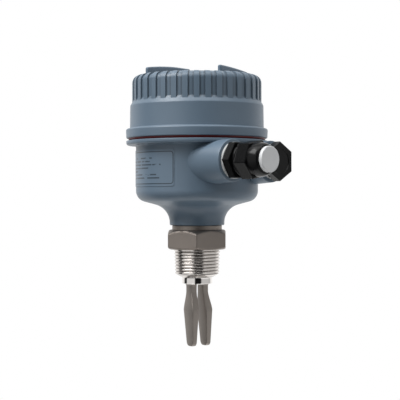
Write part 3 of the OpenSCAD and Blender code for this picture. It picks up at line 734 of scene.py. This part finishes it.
def wing(skin, half_turn, length, inwards):
    """A low bar on the cover: a round-topped section that is carried along its length, falls outwards in a
    gentle arch and closes with round ends. inwards lengthens it past its inner end at an even height."""
    whole = length + inwards
    end = np.linspace(0, 1, 7) ** 2 * wing_round / whole
    t = np.concatenate([end, np.linspace(0.06, 0.94, 24), 1 - end[::-1]])
    near = np.minimum(np.minimum(t, 1 - t) * whole / wing_round, 1.0)
    full = np.sqrt(np.clip(1 - (1 - near) ** 2, 0.0, 1.0))
    along = t * whole - inwards
    out = np.clip(along / length, 0.0, 1.0)
    top = wing_high + (wing_low - wing_high) * out + wing_arch * out * (1 - out)
    top = top - wing_round * 0.6 * (1 - full)
    half_thick = wing_thick / 2 * (0.35 + 0.65 * full)
    a = np.radians(np.linspace(0, 180, 13))
    lip = wing_lip / (wing_thick / 2)
    over = np.cos(a) * lip + np.sign(np.cos(a)) * (1 - lip)
    aside = np.concatenate([[1.0, 1.0], over, [-1.0, -1.0]])
    rise = np.concatenate([[0.0, 0.3], 1.0 + (np.sin(a) - 1.0) * 0.16, [0.3, 0.0]])
    y = half_thick[:, None] * aside
    z = (top[:, None] + wing_sink) * rise - wing_sink
    x = wing_start + along[:, None] + 0 * y
    grid = spun(x, y - wing_offset, crown_z + z, math.radians(wing_turn + half_turn))
    skin.add(grid[:, ::-1], caps=("first", "last"))


def cover_seal():
    """A ring turned about Z whose outer side bulges a little, set back between the flanges."""
    low, high = span("cover_seal")
    bottom, top = low[2] - seal_sink, high[2]
    outer, inner = high[1] - seal_inset, high[1] - seal_depth
    bulge = arc(outer, (bottom + top) / 2, (top - bottom) / 2 * 0.9, -75, 75, 8)
    section = chain([inner, bottom], [outer, bottom], bulge, [outer, top], [inner, top])
    skin = Skin().add(turned(section, circle(192)), closed=True)
    skin.piece("flange_seal", "cover_seal", ("cover_seal",), "seal_rubber", [looks["seal_rubber"]])


def rating_label():
    """A thin film bent on the wall, with round corners: the half width at each height is that of a rounded
    rectangle, and both faces and the edge follow it."""
    level = label_half_height - label_corner
    curve = np.cos(np.radians(np.linspace(0, 90, 9))) * label_corner
    up = np.concatenate([-curve - level, curve[::-1] + level])
    past = np.clip(np.abs(up) - level, 0.0, label_corner)
    reach = label_reach - label_corner + np.sqrt(label_corner ** 2 - past ** 2)
    across = np.linspace(-1, 1, 65)[None, :] * reach[:, None]
    a = math.radians(label_turn) + across / label_r
    up = up[:, None] + 0 * across
    z = (label_low[2] + label_high[2]) / 2 + up
    outer, inner = (np.stack([r * np.cos(a), r * np.sin(a), z], -1) for r in (label_outer, label_inner))
    skin = Skin().add(outer, around=False, uv=np.stack([across, up], -1))
    skin.add(inner[:, ::-1], around=False)
    skin.add(np.stack([inner[0], outer[0]]), around=False)
    skin.add(np.stack([outer[-1], inner[-1]]), around=False)
    skin.add(np.stack([inner[:, -1], outer[:, -1]])[:, ::-1], around=False)
    skin.add(np.stack([inner[:, 0], outer[:, 0]]), around=False)
    skin.piece("label_film", "housing", ("rating_label",), "label_film", [looks["label_film"]])


def hexed(grid, first, turn, insets):
    """Draws rows of a turned grid, from the first one on, in to a hexagon, each inset by its own amount."""
    rows = slice(first, first + len(insets))
    angles = np.arctan2(grid[0, :, 1], grid[0, :, 0])
    flat = hex_radius(angles, gland_af, turn, 260.0)[None, :] - np.reshape(insets, (-1, 1))
    grid[rows] = set_radius(grid[rows], np.minimum(flat, np.hypot(grid[rows, :, 0], grid[rows, :, 1])))
    return grid


def hex_side(low, high, end):
    """Section points up the side of a small hexagon, close together where its two bevels are."""
    middle = np.linspace(low + 1.0, high - 1.0, 4)
    return upright(gland_corner, np.concatenate([[low + fit_gap, low + bevel], middle, [high - bevel, end]]))


bevelled = np.array([bevel, 0, 0, 0, 0, 0, 0, bevel])


def entry_piece(name, side, body, node, slot, grid, closed=True):
    """Lays a grid turned about Z on one cable entry and makes a piece of it. One that isn't closed on
    itself has its two ends filled."""
    skin = Skin().add(on_entry(grid, side), closed=closed, caps=() if closed else ("first", "last"))
    skin.piece(name, body, (node,), slot, [looks[slot]])


def gland_washer():
    """A flat ring with round outer edges, turned about the first entry."""
    outer, rounding = 12.1, 0.4
    section = chain(
        [entry_r + fit_gap, boss_x], arc(outer, boss_x + rounding, rounding, -90, 0, 4),
        arc(outer, hex_x - rounding, rounding, 0, 90, 4), [entry_r + fit_gap, hex_x],
    )
    grid = turned(section, circle(120))
    entry_piece("gland_washer_ring", -1, "housing", "gland_washer", "washer_plastic", grid)


def gland_body():
    """A tube with a hexagon: one closed section turned about the first entry, with some rows drawn in to
    the flats."""
    front = nut_x - 2.0
    seat_r, seat_x = gland_bore + 1.4, mouth_x - 6.2
    screwed = chain(
        [gland_bore, entry_root], [entry_r - lead_r, entry_root],
        [entry_r, entry_root + lead_h], [entry_r, hex_x],
    )
    neck = chain(
        [gland_tube + 0.4, front], [gland_tube, front + 0.4], [gland_tube, mouth_x - 12.0],
        [seat_r, mouth_x - 11.0], [seat_r, seat_x], [gland_bore, seat_x],
    )
    section = chain(screwed, hex_side(hex_x, front, front - fit_gap), neck)
    grid = hexed(turned(section, circle(240)), len(screwed), 30.0, bevelled)
    entry_piece("gland_body_hexagon", -1, "housing", "gland_body", "gland_plastic", grid)


def gland_nut():
    """A collar with a round edge, a finely ridged hexagon and a quarter ellipse that narrows to the mouth:
    one closed section turned about the first entry, with some rows drawn in to the flats."""
    bore = gland_tube + 0.35
    collar, collar_round, neck = 11.9, 0.8, 11.0
    dome_r, dome_end, mouth, mouth_round = 11.75, 8.9, 6.3, 0.6
    ridge_count, ridge_depth = 33, 0.07
    hex_start, hex_end = nut_x + 1.9, nut_x + 12.6
    foot = chain(
        [bore, nut_x], arc(collar - collar_round, nut_x + collar_round, collar_round, -90, 90, 10),
        [neck, hex_start - 0.1],
    )
    ridges = np.linspace(hex_start + 0.9, hex_end - 0.9, ridge_count)
    levels = np.concatenate([[hex_start, hex_start + 0.4], ridges, [hex_end - 0.5, hex_end]])
    side = upright(gland_corner, levels)
    dome = np.radians(np.linspace(0, 82, 20))
    ellipse = np.stack([dome_end + (dome_r - dome_end) * np.cos(dome),
                        hex_end + (mouth_x - hex_end) * np.sin(dome)], 1)
    front = chain(
        [dome_r, hex_end + 0.02], ellipse[1:],
        arc(mouth + mouth_round, mouth_x - mouth_round, mouth_round, 90, 180, 4),
        [mouth, mouth_x - 2.0], [bore, mouth_x - 6.0],
    )
    insets = np.concatenate([[0.4, 0.0], ridge_depth * (np.arange(ridge_count) % 2), [0.0, 0.5]])
    grid = hexed(turned(chain(foot, side, front), circle(240)), len(foot), 40.0, insets)
    entry_piece("gland_cap_nut", -1, "gland_nut", "gland_nut", "gland_plastic", grid)


def gland_plug():
    """A stem and a flat head with a round edge, turned about the first entry."""
    head, head_round, stem, middle = 8.75, 0.5, 5.3, 0.5
    back, face = mouth_x + 0.1, plug_x + 0.5
    section = chain(
        [middle, nut_x], [stem, nut_x], [stem, back], [head - 0.3, back], [head, back + 0.3],
        arc(head - head_round, face - head_round, head_round, 0, 90, 6),
        [head - 1.6, face], [middle, face - 0.05],
    )
    grid = turned(section, circle(120))
    entry_piece("gland_sealing_plug", -1, "gland_plug", "gland_plug", "plug_plastic", grid, closed=False)


def blanking_washer():
    """A flat ring with bevelled outer edges, turned about the second entry."""
    outer, slant = 12.2, 0.2
    low, high = span("blanking_washer")
    section = chain(
        [entry_r + fit_gap, low[0]], [outer - slant, low[0]], [outer, low[0] + slant],
        [outer, high[0] - slant], [outer - slant, high[0]], [entry_r + fit_gap, high[0]],
    )
    grid = turned(section, circle(120))
    entry_piece("blanking_washer_ring", 1, "blanking_washer", "blanking_washer", "washer_plastic", grid)


def blanking_plug():
    """A hollow shank and a hexagon head with a shallow round recess, turned about the second entry, with
    some rows drawn in to the flats."""
    shank = entry_r - 0.25
    hollow = shank - 2.5
    recess_r, recess_depth, middle = 9.3, 0.5, 0.5
    screwed = chain(
        [hollow, boss_x - 1.0], [hollow, entry_root], [shank - lead_r, entry_root],
        [shank, entry_root + lead_h], [shank, hex_x],
    )
    recess = chain(
        [recess_r, blank_x], [recess_r - 0.3, blank_x - 0.1], [recess_r - 0.5, blank_x - recess_depth],
        [middle, blank_x - recess_depth],
    )
    section = chain(screwed, hex_side(hex_x, blank_x, blank_x), recess)
    grid = hexed(turned(section, circle(240)), len(screwed), 0.0, bevelled)
    entry_piece("blanking_plug_head", 1, "blanking_plug", "blanking_plug", "gland_plastic", grid,
                closed=False)


def process_connection():
    """One closed section turned about Z: bore, bright tube, tapered thread, hexagon, collar and spigot. The
    thread's radius falls by its wave along a right-handed helix, and the hexagon's is the lesser of its flats
    and of a cone at either end. The UV map's u is the height of the thread's wave, by which the thread's
    material paints shade into the roots."""
    corner = hex_af / math.sqrt(3)
    land = hex_af / 2 - 1.0
    lower_cone, upper_cone = 1.8, 3.1
    lower = chain(
        [stem_r, tube_z + socket_h], [socket_r, tube_z + socket_h], [socket_r, tube_z],
        [tube_r - tube_edge, tube_z], [tube_r, tube_z + tube_edge],
        evenly([tube_r, tube_z + 1.0], [tube_r, thread_z - 0.4], 4),
        [tube_r + 0.15, thread_z - 0.1], [tube_r + 0.4, thread_z],
    )
    thread = evenly([thread_r, thread_z], [thread_r, -fit_gap], 300)
    up = np.array([0.25, 0.5, 0.75, 1.0, 1.15])
    down = np.append(up[::-1], 0.05)
    hexagon = chain(
        [land, 0.0], upright(land + (corner - land) * up, lower_cone * up),
        upright(corner + 1.5, np.linspace(2.6, hex_h - 4.2, 6)),
        upright(land + (corner - land) * down, hex_h - upper_cone * down),
    )
    upper = chain(
        [land - 0.3, hex_h], [collar_r, hex_h],
        [collar_r, neck_z - collar_edge], [collar_r - collar_edge, neck_z],
        [spigot_r, neck_z], [spigot_r, spigot_top - edge],
        [spigot_r - edge, spigot_top], [stem_r, spigot_top],
    )
    angles = circle(240)
    grid = turned(chain(lower, thread, hexagon, upper), angles)
    thread_rows = slice(len(lower), len(lower) + len(thread))
    hex_rows = slice(thread_rows.stop, thread_rows.stop + len(hexagon))

    heights = thread[:, 1:]
    wave = fine_thread(helix(heights, thread_pitch, angles))
    crest = thread_r - crest_drop + heights / thread_taper
    lead_in = tube_r + 0.6 + (heights - thread_z) * thread_lead
    cut = np.minimum(crest - thread_depth * (1.0 - wave), lead_in)
    grid[thread_rows] = set_radius(grid[thread_rows], cut)

    flats = hex_radius(angles, hex_af, hex_turn, 150.0)[None, :]
    grid[hex_rows] = set_radius(grid[hex_rows], soft_least(flats, hexagon[:, :1], 90.0))

    blasted_mark, bright_mark, thread_mark = 0, 1, 2
    finish = np.full(len(grid), blasted_mark)
    finish[:len(lower)] = bright_mark
    finish[thread_rows] = thread_mark
    uv = np.zeros(grid.shape[:2] + (2,))
    # painted shade: the wave's height goes into the UV map's u, so that the thread's roots are painted dark
    uv[thread_rows, :, 0] = wave
    skin = Skin().add(grid, finish=finish, closed=True, uv=uv)
    skin.piece("process_connection_body", "housing", ("process_connection",), "connection_steel",
               [looks["connection_steel"], polished, thread_steel_painted_shade], sharp=36.0)


def fork():
    """Diaphragm and two tines, each the other's mirror image. A tine's section is a rectangle with round
    corners whose breadth, thickness and place change along Z; it flares into the diaphragm and its tip is
    rounded."""
    round_z = tip_z + tip_round
    falling = np.sin(np.radians(np.linspace(0, 90, 12)))[1:]
    z = np.concatenate([
        np.linspace(tube_z + 0.4, root_z, 12), np.linspace(root_z, wide_z, 14)[1:],
        np.linspace(wide_z, round_z, 12)[1:], tip_z + tip_round * (1 - falling),
    ])
    rise = np.clip((root_z - z) / (root_z - wide_z), 0.0, 1.0)
    to_wide = 0.5 * rise + 0.5 * smooth(rise)
    to_tip = np.clip((wide_z - z) / (wide_z - tip_z), 0.0, 1.0)

    def along(measure):
        """A tine's measure at every level."""
        root, wide, tip = measure
        return root + (wide - root) * to_wide + (tip - wide) * to_tip

    def rounding(start, height):
        """How far a quarter round of that height has drawn in, from 0 at its start to 1."""
        near = np.clip((start - z) / height, 0.0, 1.0)
        return 1 - np.sqrt(1 - near ** 2)

    flare = np.clip(1 - (tube_z - z) / flare_h, 0.0, 1.0) ** 2
    shrink = 0.6 * rounding(tip_z + tip_edge, tip_edge)
    inner = along(tine_inner) - 0.4 * flare + shrink
    outer = along(tine_outer) + flare - shrink
    half = along(tine_half) + flare - tip_round * rounding(round_z, tip_round)

    quarter = 90.0 * np.arange(4)
    a = np.radians(quarter[:, None] + np.linspace(0, 90, 6)).ravel()
    side_x = np.repeat(np.sign(np.cos(np.radians(quarter + 45.0))), 6)
    side_y = np.repeat(np.sign(np.sin(np.radians(quarter + 45.0))), 6)
    middle, half_thick = (inner + outer) / 2, (outer - inner) / 2
    x = middle[:, None] + (half_thick - tine_edge)[:, None] * side_x + tine_edge * np.cos(a)
    y = along(tine_aside)[:, None] + (half - tine_edge)[:, None] * side_y + tine_edge * np.sin(a)

    disc_r = socket_r - fit_gap
    disc = chain([disc_r, tube_z + 0.02], [disc_r, tube_z + socket_h])
    skin = Skin().add(turned(disc, circle(120)), caps=("first", "last"))
    for side in (1, -1):
        grid = spun(side * x, y, z[:, None] + 0 * x, math.radians(fork_turn))
        skin.add(grid[:, ::-side], caps=("first", "last"))
    skin.piece("fork_tines", "housing", ("fork",), "fork_steel", [looks["fork_steel"]], sharp=40.0)


def tent():
    """Lights the object by a pale tent, in fields between two angles from the camera's side, in degrees to
    its right, and two heights, as sines. Fields add light, and then others take a share of it away. The
    camera sees plain white, and so do metal and glass where they mirror what lies behind the object."""
    world = bpy.data.worlds.new("tent")
    bpy.context.scene.world = world
    world.use_nodes = True
    tree = Tree(world.node_tree)
    turn = math.radians(CAMERA_TURN)
    direction = tree.node("ShaderNodeNewGeometry").outputs["Incoming"]
    x, y, z = tree.node("ShaderNodeSeparateXYZ", {0: direction}).outputs
    c, s = math.cos(turn), math.sin(turn)
    front = tree.math("ADD", tree.math("MULTIPLY", x, -s), tree.math("MULTIPLY", y, c))
    right = tree.math("ADD", tree.math("MULTIPLY", x, -c), tree.math("MULTIPLY", y, -s))
    angle = tree.math("ARCTAN2", right, front)
    up = tree.math("MULTIPLY", z, -1.0)

    def step(value, start, end):
        """A smooth step from 0 to 1 while the value goes from start to end."""
        limits = {"Value": value, "From Min": start, "From Max": end}
        return tree.node("ShaderNodeMapRange", limits, interpolation_type="SMOOTHSTEP").outputs[0]

    def window(value, low, high, soft):
        """1 while the value is between low and high, with soft ends."""
        rise, fall = step(value, low - soft, low + soft), step(value, high + soft, high - soft)
        return tree.math("MULTIPLY", rise, fall)

    def around(low, high, soft):
        """1 between two angles."""
        return window(angle, math.radians(low), math.radians(high), math.radians(soft))

    def field(low_angle, high_angle, low, high, soft_angle=6.0, soft=0.06):
        """1 between two angles and two heights."""
        return tree.math("MULTIPLY", around(low_angle, high_angle, soft_angle), window(up, low, high, soft))

    above, below = 2.0, -2.0
    background = tree.math("SUBTRACT", 1.0, around(-118, 118, 14))
    behind = tree.math("MULTIPLY", background, window(up, 0.02, 0.8, 0.06))
    left_wall = field(-85, -17, -0.3, 0.5)
    right_wall = field(38, 100, -0.7, 0.5)
    low_right = field(15, 130, -0.95, -0.25, 10.0)
    top = field(-115, 105, 0.82, above, 10.0, 0.1)
    key = field(-88, -36, 0.56, 0.87)
    camera_side = field(-17, 31, -0.65, 0.5, 4.0)
    left_gap = field(-110, -84, below, 0.5, 4.0)
    floor_side = window(up, below, -0.6, 0.12)
    gains = ((left_wall, 0.3), (right_wall, 0.12), (low_right, 0.32), (behind, 0.9), (top, 3.0), (key, 9.4))
    losses = ((camera_side, -0.98), (left_gap, -0.93), (floor_side, -0.4))
    light = 0.43
    for part, gain in gains:
        light = tree.math("MULTIPLY_ADD", part, gain, light)
    for part, loss in losses:
        light = tree.math("MULTIPLY", light, tree.math("MULTIPLY_ADD", part, loss, 1.0))

    ray = tree.node("ShaderNodeLightPath").outputs
    mirrored = tree.math("MAXIMUM", ray["Is Glossy Ray"], ray["Is Transmission Ray"])
    white = tree.math("MAXIMUM", ray["Is Camera Ray"], tree.math("MULTIPLY", mirrored, background))
    strength = tree.math("ADD", tree.math("MULTIPLY", light, tree.math("SUBTRACT", 1.0, white)), white)
    sky = tree.nodes["Background"]
    sky.inputs["Color"].default_value = (1.0, 1.0, 1.0, 1.0)
    tree.links.new(strength, sky.inputs["Strength"])


def pale_floor():
    """A pale square, level and well below the fork, in metres."""
    half, z = 0.3, tip_z / MM - 0.6
    mesh = bpy.data.meshes.new("floor")
    corners = [(-half, -half, z), (half, -half, z), (half, half, z), (-half, half, z)]
    mesh.from_pydata(corners, [], [(0, 1, 2, 3)])
    mesh.materials.append(Finish("pale floor", (0.8, 0.8, 0.8), 0.8).material)
    floor = bpy.data.objects.new("floor", mesh)
    bpy.context.scene.collection.objects.link(floor)


def photo_view():
    """The photograph's view: level, turned from the front by CAMERA_TURN, with a trace of roll, in metres."""
    turn = math.radians(CAMERA_TURN)
    away, aside, eye_z, roll = 0.870, 0.00215, 0.0353, 0.0018
    eye_x = away * math.sin(turn) + aside * math.cos(turn)
    eye_y = aside * math.sin(turn) - away * math.cos(turn)
    camera = bpy.data.objects.new("camera", bpy.data.cameras.new("camera"))
    camera.location = (eye_x, eye_y, eye_z)
    camera.rotation_euler = (math.pi / 2, roll, turn)
    camera.data.sensor_width = 36.0
    camera.data.lens = 108.9
    camera.data.clip_start = 0.01
    camera.data.dof.use_dof = False
    bpy.context.scene.collection.objects.link(camera)
    bpy.context.scene.camera = camera


housing()
bosses()
cover()
cover_seal()
rating_label()
gland_washer()
gland_body()
gland_nut()
gland_plug()
blanking_washer()
blanking_plug()
process_connection()
fork()

bpy.context.scene.view_settings.view_transform = "Standard"
tent()
pale_floor()
photo_view()
